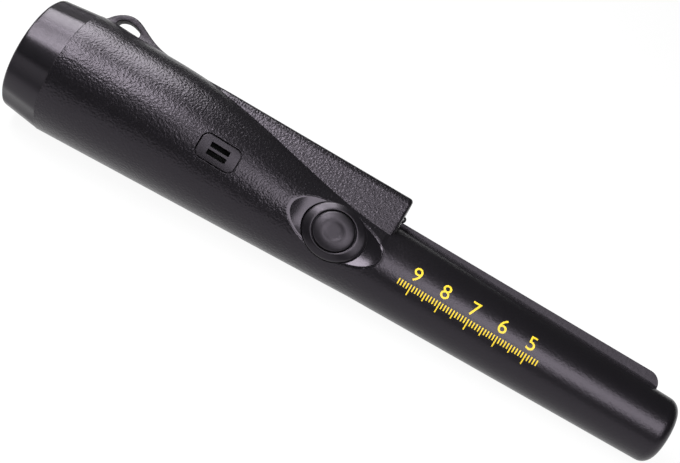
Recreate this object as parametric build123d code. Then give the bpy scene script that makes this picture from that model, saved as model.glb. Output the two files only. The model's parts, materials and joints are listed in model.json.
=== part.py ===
from build123d import *
import os
from math import atan, cos, degrees, hypot, pi, radians, sin, sqrt, tan

# Pinpointer: a hand-held metal-detecting probe.
# Every length is in millimetres. The pieces are made with the tool along +X, from the flat end of
# the battery cap at 0 to the tip. +Y is the side of the hood and the blade, +Z the button's side.
# At the end the tool is laid down as it rests on a bench, with the origin under the middle of its box.

# Clearances
CLEAR = 0.3  # between pieces that pass each other
SEAT_FIT = 0.1  # around a piece that is set into a pocket
RUN_FIT = 0.08  # around a thread, a plunger or a shaft
SHAFT_GRIP = 0.02  # around a shaft that a piece is pressed on

# Nine volt block battery and its snap terminals
BATTERY_LENGTH = 46.4
BATTERY_WIDTH = 26.5
BATTERY_HEIGHT = 17.5
BATTERY_CORNER = 2.5
TERMINAL_HEIGHT = 2.1
TERMINAL_SPACING = 12.7
STUD_R = 2.85
STUD_FIT = 0.15
SOCKET_WALL = 1.0

# Battery tray and contact plate
TRAY_WALL = 1.1
TRAY_FIT = 0.2
TRAY_FIN_Y = 8.0
TRAY_FIN_THICK = 1.4
TRAY_LIP = 2.0
PLATE_THICK = 1.5

# Battery cap
CAP_LENGTH = 13.0
CAP_STEP = 0.08  # how far the collar stands over the cap's front edge
CAP_TAPER = 1.62  # loss of radius from the collar to the flat end
CAP_EDGE = 1.0
CAP_FLOOR = 4.5
PLUG_LENGTH = 9.0
PLUG_CHAMFER = 0.4
FLUTES = 9
FLUTE_DEPTH = 0.45
FLUTE_R = 34.0  # of the hollow, across the flute
FLUTE_TURN = 77.5  # degrees from the hood's side, towards the button's, to the first flute
SEAL_SECTION_R = 0.83
SEAL_SIDES = 12
SEAL_FIT = 0.05
PAD_THICK = 3.0

# Grip
COLLAR_WALL = 3.97
GRIP_AXIS_Y = 2.3
SWEEP_LENGTH = 82.5  # length over which the grip sweeps down to the neck
GRIP_SECTIONS = 9

# Probe tube
NECK_R = 13.3
NECK_BACK = 2.0  # from the neck to the hood's front face
NECK_WALL = 2.5
PROBE_LENGTH = 102.4  # from the hood's front face to the tip
TIP_R = 10.82
TIP_ROUND = 4.0
TIP_WALL = 2.5
TIP_SIDE_WALL = 1.81

# Hood
HOOD_LENGTH = 93.0
HOOD_RUN_IN = 27.0
HOOD_DROP = 0.85  # of its front, below the grip's top
HOOD_MIDDLE_DROP = 0.75
HOOD_REAR_DROP = 0.9
HOOD_HALF_FRONT = 8.95
HOOD_HALF_MIDDLE = 7.15
HOOD_HALF_REAR = 4.6
HOOD_DRAFT = 6.0
HOOD_ROUND = 2.5
HOOD_REACH = 16.0  # from the button's centre to the front face
HOOD_EDGE = 1.2

# Lamp in the hood
LED_R = 1.1
LED_OVER_BLADE = 0.1
LED_FLANGE_R = 1.5
LED_FLANGE_THICK = 1.0
LED_PROUD = 1.0
LED_FLAT_R = 0.05  # at the top of its dome
LED_WALL = 4.3
LED_POCKET_LENGTH = 14.0
LED_POCKET_HALF = 2.6
LEAD_PITCH = 2.54
LEAD_R = 0.3
LEAD_SIDES = 8
LEAD_BEND = 1.2
LED_LEAD_X = 3.0

# Scraper blade
BLADE_RISE = 1.73  # over the neck's radius
BLADE_THICK = 2.8
BLADE_SETBACK = 8.95
BLADE_CORNER = 4.0
GROOVE_DEPTH = 0.9

# Lanyard loop
LOOP_START = 0.3
LOOP_LENGTH = 24.0
LOOP_CROWN_X = 8.5
LOOP_HEIGHT = 5.25
LOOP_REAR_SLOPE = 1.2
LOOP_FRONT_SLOPE = -0.12
LOOP_FULLNESS = 1.55  # of the arch beside its crown
LOOP_WIDTH = 6.0
LOOP_WALL = 0.6  # between the seal's groove and the loop's foot
LOOP_FOOT_DROP = 0.2
LOOP_STRAND = 2.6
LOOP_HOLE_START = 4.4
LOOP_HOLE_LENGTH = 8.7
LOOP_HOLE_LEAN = 0.6  # of its two ends
LOOP_HOLE_ROUND = 1.7
LOOP_HOLE_DROP = 0.7
LOOP_EDGE = 1.0

# Sound plate and sounder
SPEAKER_Y = 1.9
SPEAKER_R = 6.5
SPEAKER_THICK = 3.4
SPEAKER_GAP = 2.4
SPEAKER_RIM = 1.7
SPEAKER_PIN_R = 0.3
SPEAKER_PIN_PITCH = 5.0
GASKET_THICK = 0.5
SOUND_LENGTH = 8.6
SOUND_WIDTH = 4.6
SOUND_CORNER = 1.2
SOUND_WALL = 2.4
GRILLE_LENGTH = 12.9
GRILLE_WIDTH = 7.6
GRILLE_CORNER = 2.1
GRILLE_GAP = 0.45
GRILLE_EDGE_THICK = 1.2
SLOT_LENGTH = 6.4
SLOT_WIDTH = 1.6
SLOT_SPACING = 2.5

# Power button and its dish
BUTTON_SPACING = 41.6  # from the sound plate's centre
BUTTON_HALF_LENGTH = 6.65  # of its oval, along the tool
BUTTON_HALF_WIDTH = 6.15
BUTTON_PROUD = 0.7
BUTTON_EDGE = 0.9
BUTTON_DIMPLE_R = 3.8
BUTTON_DIMPLE_DEPTH = 0.4
BUTTON_DIMPLE_EDGE = 4.0
BUTTON_FLANGE = 0.8
BUTTON_FLANGE_THICK = 1.0
BUTTON_TRAVEL = 0.8
STEM_R = 2.0
STEM_HOLE_GAP = 1.0
STEM_REACH = 0.1
BEZEL_HALF_LENGTH = 10.3
BEZEL_HALF_WIDTH = 8.8
BEZEL_TOP_HALF_LENGTH = 8.5
BEZEL_TOP_HALF_WIDTH = 7.9
BEZEL_FLANK = 2.3  # height of its sloping flank
BEZEL_EDGE = 2.0
BEZEL_MOUTH_EDGE = 0.25
BEZEL_LIP = 1.8
BEZEL_SINK = 0.1
BOSS_RIM = 1.4
BOSS_THICK = 1.8
DISH_LENGTH = 31.6
DISH_AHEAD = 0.6  # of the button's centre
DISH_R = 38.0
DISH_EDGE = 1.2
DISH_WALL = 2.0

# Switch under the button
SWITCH_SIDE = 6.0
SWITCH_HEIGHT = 3.3
SWITCH_FLOOR = 1.0
PLUNGER_R = 1.75
PLUNGER_SUNK = 1.0

# Circuit board
BOARD_WIDTH = 16.0
BOARD_THICK = 1.6
BOARD_HOLE_GAP = 0.2
CHIP_HEIGHT = 1.2
PROCESSOR_SIDE = 10.0
PROCESSOR_BACK = 28.0  # from the button's centre
AMPLIFIER_LENGTH = 5.0
AMPLIFIER_WIDTH = 4.4
AMPLIFIER_BACK = 17.5
CHIP_GAP = 0.5
CAPACITOR_R = 2.0
CAPACITOR_HEIGHT = 4.0
CAPACITOR_Y = 4.5
CAPACITOR_AHEAD = 19.0

# Inner frame and screws
FRAME_HALF = 6.0
FRAME_WALL = 1.5
FRAME_BULKHEAD = 5.0
SADDLE_THICK = 2.5
SADDLE_INSET = 1.0
MIDDLE_SCREW_AHEAD = 10.0
SCREW_R = 1.0
SCREW_LENGTH = 6.0
SCREW_HEAD_R = 1.9
SCREW_HEAD_THICK = 1.3
PILOT_FIT = 0.05

# Vibration motor
MOTOR_BACK = 27.8
MOTOR_R = 3.0
MOTOR_LENGTH = 10.5
MOTOR_DROP = 7.4
SLEEVE_WALL = 1.0
SHAFT_R = 0.5
SHAFT_SUNK = 3.0
SHAFT_OUT = 6.0
WEIGHT_R = 2.9
WEIGHT_HUB_R = 1.2
WEIGHT_LENGTH = 4.0
MOTOR_LEAD_PITCH = 2.0
MOTOR_LEAD_OUT = 2.5

# Search coil
FERRITE_R = 4.75
BOBBIN_LENGTH = 64.5
BOBBIN_WALL = 1.15
BOBBIN_FLANGE = 2.0
BOBBIN_TAIL = 11.0
COIL_CLEAR = 0.45
WINDING_INSET = 0.5
NOSE_PAD_THICK = 4.5
COIL_LEAD_Y = 3.0
COIL_LEAD_Z = 7.0
COIL_LEAD_OUT = 5.0
NOTCH_WIDTH = 1.6

# How the tool lies: rolled about its axis, with the hood's side rising, to where it stays by itself
LIE_ROLL = 45.1

# Places along the tool
plug_end = CAP_LENGTH + PLUG_LENGTH
battery_x = CAP_FLOOR + PAD_THICK + CLEAR
terminal_x = battery_x + BATTERY_LENGTH
plate_x = terminal_x + TERMINAL_HEIGHT + CLEAR
board_x = plate_x + PLATE_THICK
tray_end = board_x + TRAY_LIP
bay_end = tray_end + TRAY_LIP
speaker_x = tray_end + SPEAKER_GAP + SPEAKER_R
button_x = speaker_x + BUTTON_SPACING
hood_face = button_x + HOOD_REACH
neck_x = hood_face - NECK_BACK
sweep_start = neck_x - SWEEP_LENGTH
length = hood_face + PROBE_LENGTH
bore_end = length - TIP_WALL
bobbin_front = bore_end - NOSE_PAD_THICK
bobbin_rear = bobbin_front - BOBBIN_LENGTH
tail_x = bobbin_rear - BOBBIN_TAIL
board_end = bobbin_rear - BOBBIN_FLANGE
frame_x = tray_end + CLEAR
frame_end = tail_x - CLEAR
motor_x = button_x - MOTOR_BACK
motor_end = motor_x + MOTOR_LENGTH

# Radii that follow from the battery and the walls
corner_y = BATTERY_WIDTH / 2 - BATTERY_CORNER
corner_z = BATTERY_HEIGHT / 2 - BATTERY_CORNER
battery_reach = hypot(corner_y, corner_z) + BATTERY_CORNER
bay_r = battery_reach + CLEAR + TRAY_WALL + TRAY_FIT
plug_r = bay_r - RUN_FIT
plug_bore = battery_reach + CLEAR
collar_r = bay_r + COLLAR_WALL
cap_front_r = collar_r - CAP_STEP
cap_rear_r = cap_front_r - CAP_TAPER
neck_bore = NECK_R - NECK_WALL
tip_bore = TIP_R - TIP_SIDE_WALL
grip_top = GRIP_AXIS_Y + collar_r
grip_bottom = GRIP_AXIS_Y - collar_r
hood_top = grip_top - HOOD_DROP
blade_top = NECK_R + BLADE_RISE
led_y = blade_top + LED_OVER_BLADE + LED_R


def top_line(x):
    """Height of the grip's hood side: level, then a soft sweep down to the neck."""
    turn = min(max((x - sweep_start) / SWEEP_LENGTH, 0.0), 1.0)
    return grip_top - (grip_top - NECK_R) * (1 - cos(pi * turn)) / 2


def bottom_line(x):
    """Height of the grip's straight far side."""
    return grip_bottom - (grip_bottom + NECK_R) * (x - CAP_LENGTH) / (neck_x - CAP_LENGTH)


def grip_circle(x):
    """Centre height and radius of the grip's round section."""
    return (top_line(x) + bottom_line(x)) / 2, (top_line(x) - bottom_line(x)) / 2


def probe_r(x):
    return NECK_R - (NECK_R - TIP_R) * (x - neck_x) / (length - neck_x)


def bore_r(x):
    return neck_bore - (neck_bore - tip_bore) * (x - neck_x) / (bore_end - neck_x)


def surface_z(x, y):
    """Height of the skin on the button side."""
    centre, radius = grip_circle(x) if x < neck_x else (0.0, probe_r(x))
    return sqrt(radius**2 - (y - centre) ** 2)


# Levels of the button stack, from the skin down to the board
bezel_top = surface_z(button_x, 0) - BEZEL_SINK
lip_z = bezel_top - BEZEL_LIP
flange_top = lip_z - CLEAR
flange_z = flange_top - BUTTON_FLANGE_THICK
seat_z = flange_z - BUTTON_TRAVEL - CLEAR
boss_z = seat_z - BOSS_THICK
stem_z = boss_z - STEM_REACH
plunger_z = stem_z - CLEAR
switch_z = plunger_z - BUTTON_TRAVEL - CLEAR - STEM_REACH
board_top = switch_z - SWITCH_HEIGHT
board_z = board_top - BOARD_THICK
motor_z = board_z - MOTOR_DROP

# Levels of the sound plate, set by its lowest corner
grille_front = speaker_x + GRILLE_LENGTH / 2
grille_z = surface_z(grille_front, SPEAKER_Y - GRILLE_WIDTH / 2) - GRILLE_EDGE_THICK
speaker_seat = grille_z - SOUND_WALL
speaker_top = speaker_seat - GASKET_THICK
speaker_z = speaker_top - SPEAKER_THICK

# Sizes that more than one piece takes from here
button_plan = (BUTTON_HALF_LENGTH, BUTTON_HALF_WIDTH)
flange_plan = (BUTTON_HALF_LENGTH + BUTTON_FLANGE, BUTTON_HALF_WIDTH + BUTTON_FLANGE)
bezel_plan = (BEZEL_HALF_LENGTH, BEZEL_HALF_WIDTH)
bezel_top_plan = (BEZEL_TOP_HALF_LENGTH, BEZEL_TOP_HALF_WIDTH)
sleeve_r = MOTOR_R + SLEEVE_WALL
socket_r = STUD_R + STUD_FIT + SOCKET_WALL
bobbin_core = FERRITE_R + SEAT_FIT + BOBBIN_WALL
bobbin_r = bore_r(bobbin_front) - COIL_CLEAR
seal_r = plug_r + SEAL_FIT + SEAL_SECTION_R
seal_x = CAP_LENGTH + SEAL_FIT + SEAL_SECTION_R
seal_groove_r = seal_r + SEAL_SECTION_R + SEAT_FIT
middle_screw_x = button_x + MIDDLE_SCREW_AHEAD
half_bulkhead = FRAME_BULKHEAD / 2
tail_screw_x = (tail_x + board_end) / 2
screw_places = (frame_x + half_bulkhead, middle_screw_x, frame_end - half_bulkhead, tail_screw_x)
led_flange_x = hood_face - LED_WALL - SEAT_FIT - LED_FLANGE_THICK
lead_y = (FRAME_HALF + BOARD_WIDTH / 2) / 2
loop_x = CAP_LENGTH + LOOP_START
loop_base = GRIP_AXIS_Y + seal_groove_r + LOOP_WALL
FAR = 60.0  # past the skin in any direction


def station(x, y=0.0, z=0.0):
    """Plane across the tool at x: its own x runs along +Y and its own y along +Z."""
    return Plane(origin=(x, y, z), x_dir=(0, 1, 0), z_dir=(1, 0, 0))


def rod(radius, x0, x1, y=0.0, z=0.0):
    return extrude(station(x0, y, z) * Circle(radius), x1 - x0)


def bar(width, height, corner, x0, x1, y=0.0):
    """Bar along the tool with a rounded rectangular section."""
    return extrude(station(x0, y) * RectangleRounded(width, height, corner), x1 - x0)


def taper(r0, r1, x0, x1, y0=0.0, y1=0.0):
    return loft([station(x0, y0) * Circle(r0), station(x1, y1) * Circle(r1)], ruled=True)


def block(x0, x1, y0, y1, z0, z1):
    return Pos(x0, y0, z0) * Box(x1 - x0, y1 - y0, z1 - z0, align=(Align.MIN, Align.MIN, Align.MIN))


def post(radius, x, y, z0, z1):
    return Pos(x, y, z0) * Cylinder(radius, z1 - z0, align=(Align.CENTER, Align.CENTER, Align.MIN))


def tablet(size_x, size_y, corner, x, y, z0, z1):
    """Upright prism with a rounded rectangular plan."""
    return extrude(Pos(x, y, z0) * RectangleRounded(size_x, size_y, corner), z1 - z0)


def oval(plan, grown, z):
    """Level oval about the button's axis, from its halves along and across the tool, grown all round."""
    return Pos(button_x, 0, z) * Ellipse(plan[0] + grown, plan[1] + grown)


def oval_post(plan, grown, z0, z1):
    return extrude(oval(plan, grown, z0), z1 - z0)


def wire(*points):
    path = FilletPolyline(*points, radius=LEAD_BEND)
    return sweep(Plane(path @ 0, z_dir=path % 0) * RegularPolygon(LEAD_R, LEAD_SIDES), path)


def body_form():
    """Outside of the grip and the probe."""
    step = (neck_x - CAP_LENGTH) / GRIP_SECTIONS
    sections = []
    for i in range(GRIP_SECTIONS + 1):
        x = CAP_LENGTH + i * step
        centre, radius = grip_circle(x)
        sections.append(station(x, centre) * Circle(radius))
    probe = taper(NECK_R, TIP_R, neck_x, length)
    tip_edge = probe.faces().sort_by(Axis.X)[-1].edges()
    return loft(sections) + fillet(tip_edge, TIP_ROUND)


def hood_section(x, half_top, top):
    half_base = half_top + top * tan(radians(HOOD_DRAFT))
    outline = Polygon((0, -half_base), (0, half_base), (top, half_top), (top, -half_top))
    return station(x) * fillet(outline.vertices().sort_by(Axis.X)[-2:], HOOD_ROUND)


def hood_form():
    hood_x = hood_face - HOOD_LENGTH
    rear = hood_section(hood_x, HOOD_HALF_REAR, grip_top - HOOD_REAR_DROP)
    middle = hood_section(hood_x + HOOD_RUN_IN, HOOD_HALF_MIDDLE, grip_top - HOOD_MIDDLE_DROP)
    front = hood_section(hood_face, HOOD_HALF_FRONT, hood_top)
    hood = loft([rear, middle, front], ruled=True)
    return fillet(hood.faces().sort_by(Axis.X)[-1].edges(), HOOD_EDGE)


def cavity(inset):
    """Room inside the housing, drawn in from its walls by inset."""
    bay = rod(bay_r - inset, CAP_LENGTH - 1, bay_end, GRIP_AXIS_Y)
    throat = taper(bay_r - inset, neck_bore - inset, bay_end, neck_x, GRIP_AXIS_Y)
    bore = taper(neck_bore - inset, tip_bore - inset, neck_x, bore_end)
    return bay + throat + bore


def dish_ball(radius):
    """Ball that scoops the dish round the button, seated on the skin at both of its ends."""
    x0 = button_x + DISH_AHEAD - DISH_LENGTH / 2
    x1 = x0 + DISH_LENGTH
    z0 = surface_z(x0, 0)
    z1 = surface_z(x1, 0)
    half = hypot(x1 - x0, z1 - z0) / 2
    lift = sqrt(DISH_R**2 - half**2) / (2 * half)
    centre_x = (x0 + x1) / 2 + (z0 - z1) * lift
    centre_z = (z0 + z1) / 2 + (x1 - x0) * lift
    return Pos(centre_x, 0, centre_z) * Sphere(radius)


def blade_form(slack):
    """Fin along the probe, grown by slack where it makes the groove."""
    x0 = hood_face + SEAT_FIT - slack
    x1 = length - BLADE_SETBACK + slack
    root = GROOVE_DEPTH + slack
    outline = Polygon((x0, probe_r(x0) - root), (x1, probe_r(x1) - root), (x1, blade_top), (x0, blade_top))
    tip_corner = outline.vertices().sort_by(Axis.X)[-2:].sort_by(Axis.Y)[-1]
    return extrude(fillet(tip_corner, BLADE_CORNER), BLADE_THICK / 2 + slack, both=True)


def housing():
    speaker_pad = post(SPEAKER_R + SPEAKER_RIM, speaker_x, SPEAKER_Y, speaker_seat, FAR)
    button_boss = oval_post(bezel_plan, BOSS_RIM, boss_z, FAR)
    room = cavity(0) - speaker_pad - button_boss - dish_ball(DISH_R + DISH_WALL)
    form = body_form() + hood_form() - dish_ball(DISH_R)
    dish = form.faces().filter_by(GeomType.SPHERE)[0]
    shell = fillet(dish.edges(), DISH_EDGE) - room
    shell -= rod(seal_groove_r, 0, seal_x + SEAL_SECTION_R + CLEAR, GRIP_AXIS_Y)
    shell -= oval_post(bezel_plan, SEAT_FIT, seat_z, FAR)
    shell -= post(STEM_R + STEM_HOLE_GAP, button_x, 0, boss_z - CLEAR, FAR)
    pocket_corner = GRILLE_CORNER + GRILLE_GAP
    pocket_length = GRILLE_LENGTH + 2 * GRILLE_GAP
    pocket_width = GRILLE_WIDTH + 2 * GRILLE_GAP
    shell -= tablet(pocket_length, pocket_width, pocket_corner, speaker_x, SPEAKER_Y, grille_z, FAR)
    shell -= tablet(SOUND_LENGTH, SOUND_WIDTH, SOUND_CORNER, speaker_x, SPEAKER_Y, speaker_z, FAR)
    lamp_wall_x = hood_face - LED_WALL
    lamp_top = led_y + LED_POCKET_HALF
    half = LED_POCKET_HALF
    shell -= rod(LED_R + SEAT_FIT, lamp_wall_x - CLEAR, hood_face + CLEAR, led_y)
    shell -= block(lamp_wall_x - LED_POCKET_LENGTH, lamp_wall_x, neck_bore / 2, lamp_top, -half, half)
    shell -= blade_form(SEAT_FIT)
    foot_end = loop_x + LOOP_LENGTH + SEAT_FIT
    foot_half = LOOP_WIDTH / 2 + SEAT_FIT
    shell -= block(loop_x - SEAT_FIT, foot_end, loop_base - SEAT_FIT, FAR, -foot_half, foot_half)
    return shell


def lanyard_loop():
    foot_y = grip_top - LOOP_FOOT_DROP
    crown = (loop_x + LOOP_CROWN_X, foot_y + LOOP_HEIGHT)
    rear = (loop_x, foot_y)
    front = (loop_x + LOOP_LENGTH, foot_y)
    slopes = ((1, LOOP_REAR_SLOPE), (1, LOOP_FRONT_SLOPE))
    fullness = (LOOP_FULLNESS, LOOP_FULLNESS)
    arch = Spline(rear, crown, front, tangents=slopes, tangent_scalars=fullness)
    base = Polyline(front, (front[0], loop_base), (loop_x, loop_base), rear)
    plate = extrude(make_face(arch + base), LOOP_WIDTH / 2, both=True)
    rims = plate.edges().filter_by(GeomType.BSPLINE)
    plate = fillet(rims, LOOP_EDGE)
    hole_y = grip_top - LOOP_HOLE_DROP
    hole_x = loop_x + LOOP_HOLE_START
    hole_end = hole_x + LOOP_HOLE_LENGTH
    hole_top = crown[1] - LOOP_STRAND
    corners = (hole_x + LOOP_HOLE_LEAN, hole_top), (hole_end - LOOP_HOLE_LEAN, hole_top)
    hole = FilletPolyline((hole_x, hole_y), *corners, (hole_end, hole_y), radius=LOOP_HOLE_ROUND)
    hole += Line((hole_end, hole_y), (hole_x, hole_y))
    return plate - extrude(make_face(hole), LOOP_WIDTH, both=True)


def scraper_blade():
    return blade_form(0)


def battery_cap():
    """Cap with a tapered head, shallow hollow flutes along it, and a plug that goes into the grip."""
    head = taper(cap_rear_r, cap_front_r, 0, CAP_LENGTH)
    head = fillet(head.faces().sort_by(Axis.X)[0].edges(), CAP_EDGE)
    rise = FLUTE_R - FLUTE_DEPTH
    flute = taper(FLUTE_R, FLUTE_R, 0, CAP_LENGTH, cap_rear_r + rise, cap_front_r + rise)
    for i in range(FLUTES):
        head -= Rot(X=FLUTE_TURN + 360 * i / FLUTES) * flute
    head = Pos(0, GRIP_AXIS_Y, 0) * head
    plug = rod(plug_r, CAP_LENGTH, plug_end, GRIP_AXIS_Y)
    plug = chamfer(plug.faces().sort_by(Axis.X)[-1].edges(), PLUG_CHAMFER)
    return head + plug - rod(plug_bore, CAP_FLOOR, plug_end, GRIP_AXIS_Y)


def cap_seal():
    section = Pos(0, seal_r) * RegularPolygon(SEAL_SECTION_R, SEAL_SIDES)
    return Pos(seal_x, GRIP_AXIS_Y, 0) * revolve(section, Axis.X)


def battery_pad():
    return rod(plug_bore - CLEAR, CAP_FLOOR, CAP_FLOOR + PAD_THICK, GRIP_AXIS_Y)


def battery():
    return bar(BATTERY_WIDTH, BATTERY_HEIGHT, BATTERY_CORNER, battery_x, terminal_x, GRIP_AXIS_Y)


def snap_pair(x, stud_side):
    """A stud on one side of the axis and a socket on the other, between x and the terminal height."""
    stud_y = GRIP_AXIS_Y + stud_side * TERMINAL_SPACING / 2
    socket_y = GRIP_AXIS_Y - stud_side * TERMINAL_SPACING / 2
    stud = rod(STUD_R, x, x + TERMINAL_HEIGHT, stud_y)
    socket = rod(socket_r, x, x + TERMINAL_HEIGHT, socket_y)
    socket -= rod(STUD_R + STUD_FIT, x, x + TERMINAL_HEIGHT, socket_y)
    return Compound([stud.solid(), socket.solid()])


def battery_terminals():
    return snap_pair(terminal_x, 1)


def battery_contacts():
    return snap_pair(plate_x - TERMINAL_HEIGHT, -1)


def contact_plate():
    slack = 2 * (CLEAR - SEAT_FIT)
    corner = BATTERY_CORNER + CLEAR - SEAT_FIT
    return bar(BATTERY_WIDTH + slack, BATTERY_HEIGHT + slack, corner, plate_x, board_x, GRIP_AXIS_Y)


def battery_tray():
    tray_x = plug_end + CLEAR
    room = 2 * CLEAR
    skin = 2 * (CLEAR + TRAY_WALL)
    corner = BATTERY_CORNER + CLEAR
    tray = bar(BATTERY_WIDTH + skin, BATTERY_HEIGHT + skin, corner + TRAY_WALL, tray_x, tray_end, GRIP_AXIS_Y)
    fins = Part()
    for side in (-1, 1):
        y = GRIP_AXIS_Y + side * TRAY_FIN_Y
        fins += block(tray_x, tray_end, y - TRAY_FIN_THICK / 2, y + TRAY_FIN_THICK / 2, -FAR, FAR)
    tray += fins & rod(bay_r - TRAY_FIT, tray_x, tray_end, GRIP_AXIS_Y)
    return tray - bar(BATTERY_WIDTH + room, BATTERY_HEIGHT + room, corner, tray_x, tray_end, GRIP_AXIS_Y)


def inner_frame():
    """Keel under the board: two side plates joined by bulkheads and by the motor's two saddles."""
    keel = block(frame_x, frame_end, -FRAME_HALF, FRAME_HALF, -FAR, board_z) & cavity(CLEAR)
    saddle_rear = motor_x + SADDLE_INSET
    saddle_front = motor_end - SADDLE_INSET - SADDLE_THICK
    walls = [
        (frame_x, FRAME_BULKHEAD),
        (saddle_rear, SADDLE_THICK),
        (saddle_front, SADDLE_THICK),
        (middle_screw_x - half_bulkhead, FRAME_BULKHEAD),
        (frame_end - FRAME_BULKHEAD, FRAME_BULKHEAD),
    ]
    inner = FRAME_HALF - FRAME_WALL
    for (x, thick), (next_x, _) in zip(walls, walls[1:]):
        keel -= block(x + thick, next_x, -inner, inner, -FAR, FAR)
    keel -= rod(sleeve_r + SEAT_FIT, saddle_rear - CLEAR, motor_end, 0, motor_z)
    for x in screw_places[:3]:
        keel -= post(SCREW_R + PILOT_FIT, x, 0, board_z - SCREW_LENGTH - CLEAR, FAR)
    return keel


def main_board():
    board = block(board_x, board_end, -BOARD_WIDTH / 2, BOARD_WIDTH / 2, board_z, board_top)
    for x in screw_places:
        board -= post(SCREW_R + BOARD_HOLE_GAP, x, 0, board_z, board_top)
    return board


def board_screws():
    screws = []
    for x in screw_places:
        shank = post(SCREW_R, x, 0, board_z - SCREW_LENGTH, board_top)
        head = post(SCREW_HEAD_R, x, 0, board_top, board_top + SCREW_HEAD_THICK)
        screws.append((shank + head).solid())
    return Compound(screws)


def board_chip(x, size_x, size_y):
    return block(x - size_x / 2, x + size_x / 2, -size_y / 2, size_y / 2, board_top, board_top + CHIP_HEIGHT)


def processor_chip():
    return board_chip(button_x - PROCESSOR_BACK, PROCESSOR_SIDE, PROCESSOR_SIDE)


def amplifier_chips():
    front_x = screw_places[2] - SCREW_HEAD_R - CHIP_GAP - AMPLIFIER_LENGTH / 2
    places = (button_x - AMPLIFIER_BACK, front_x)
    chips = [board_chip(x, AMPLIFIER_LENGTH, AMPLIFIER_WIDTH) for x in places]
    return Compound([chip.solid() for chip in chips])


def capacitors():
    x = button_x + CAPACITOR_AHEAD
    top = board_top + CAPACITOR_HEIGHT
    cans = [post(CAPACITOR_R, x, side * CAPACITOR_Y, board_top, top) for side in (-1, 1)]
    return Compound([can.solid() for can in cans])


def power_switch():
    half = SWITCH_SIDE / 2
    body = block(button_x - half, button_x + half, -half, half, board_top, switch_z)
    return body - post(PLUNGER_R + RUN_FIT, button_x, 0, board_top + SWITCH_FLOOR, switch_z)


def switch_plunger():
    return post(PLUNGER_R, button_x, 0, switch_z - PLUNGER_SUNK, plunger_z)


def button_cap():
    top = bezel_top + BUTTON_PROUD
    disc = oval_post(button_plan, 0, flange_z, top)
    disc = fillet(disc.faces().sort_by(Axis.Z)[-1].edges(), BUTTON_EDGE)
    dimple_r = (BUTTON_DIMPLE_R**2 + BUTTON_DIMPLE_DEPTH**2) / (2 * BUTTON_DIMPLE_DEPTH)
    disc -= Pos(button_x, 0, top + dimple_r - BUTTON_DIMPLE_DEPTH) * Sphere(dimple_r)
    dimple_rim = disc.faces().sort_by(Axis.Z)[-1].inner_wires()[0].edges()
    disc = fillet(dimple_rim, BUTTON_DIMPLE_EDGE)
    flange = oval_post(flange_plan, 0, flange_z, flange_top)
    return disc + flange + post(STEM_R, button_x, 0, stem_z, flange_z)


def button_bezel():
    """Ring with a foot in the housing, a sloping flank and a mouth for the button."""
    base = seat_z + GASKET_THICK
    flank_z = bezel_top - BEZEL_FLANK
    ring = oval_post(bezel_plan, 0, base, flank_z)
    ring += loft([oval(bezel_plan, 0, flank_z), oval(bezel_top_plan, 0, bezel_top)])
    ring -= oval_post(flange_plan, CLEAR, base, lip_z)
    ring -= oval_post(button_plan, CLEAR, base, bezel_top)
    ring = fillet(ring.faces().sort_by(Axis.Z)[-1].outer_wire().edges(), BEZEL_EDGE)
    return fillet(ring.faces().sort_by(Axis.Z)[-1].inner_wires()[0].edges(), BEZEL_MOUTH_EDGE)


def button_gasket():
    ring = oval_post(bezel_plan, 0, seat_z, seat_z + GASKET_THICK)
    return ring - oval_post(flange_plan, CLEAR, seat_z, seat_z + GASKET_THICK)


def speaker_grille():
    plate = tablet(GRILLE_LENGTH, GRILLE_WIDTH, GRILLE_CORNER, speaker_x, SPEAKER_Y, grille_z, FAR)
    plate &= body_form()
    for side in (-1, 1):
        y = SPEAKER_Y + side * SLOT_SPACING / 2
        plate -= block(speaker_x - SLOT_LENGTH / 2, speaker_x + SLOT_LENGTH / 2, y - SLOT_WIDTH / 2,
                       y + SLOT_WIDTH / 2, 0, FAR)
    return plate


def speaker_gasket():
    ring = post(SPEAKER_R, speaker_x, SPEAKER_Y, speaker_top, speaker_seat)
    return ring - post(SOUND_LENGTH / 2 + CLEAR, speaker_x, SPEAKER_Y, speaker_top, speaker_seat)


def speaker():
    return post(SPEAKER_R, speaker_x, SPEAKER_Y, speaker_z, speaker_top)


def speaker_pins():
    half = SPEAKER_PIN_PITCH / 2
    pins = [post(SPEAKER_PIN_R, speaker_x + x, SPEAKER_Y, board_top, speaker_z) for x in (-half, half)]
    return Compound([pin.solid() for pin in pins])


def vibration_motor():
    can = rod(MOTOR_R, motor_x, motor_end, 0, motor_z)
    return can - rod(SHAFT_R + RUN_FIT, motor_end - SHAFT_SUNK - CLEAR, motor_end, 0, motor_z)


def motor_sleeve():
    sleeve = rod(sleeve_r, motor_x, motor_end, 0, motor_z)
    return sleeve - rod(MOTOR_R + PILOT_FIT, motor_x, motor_end, 0, motor_z)


def motor_shaft():
    return rod(SHAFT_R, motor_end - SHAFT_SUNK, motor_end + SHAFT_OUT, 0, motor_z)


def motor_weight():
    """Half-round weight that hangs below the shaft at rest."""
    end = motor_end + SHAFT_OUT
    start = end - WEIGHT_LENGTH
    half = rod(WEIGHT_R, start, end, 0, motor_z) & block(start, end, -FAR, FAR, -FAR, motor_z)
    hub = rod(WEIGHT_HUB_R, start, end, 0, motor_z)
    return half + hub - rod(SHAFT_R + SHAFT_GRIP, start, end, 0, motor_z)


def motor_leads():
    half = MOTOR_LEAD_PITCH / 2
    back = motor_x - MOTOR_LEAD_OUT
    leads = [wire((motor_x, y, motor_z), (back, y, motor_z), (back, y, board_z)) for y in (-half, half)]
    return Compound([lead.solid() for lead in leads])


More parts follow.
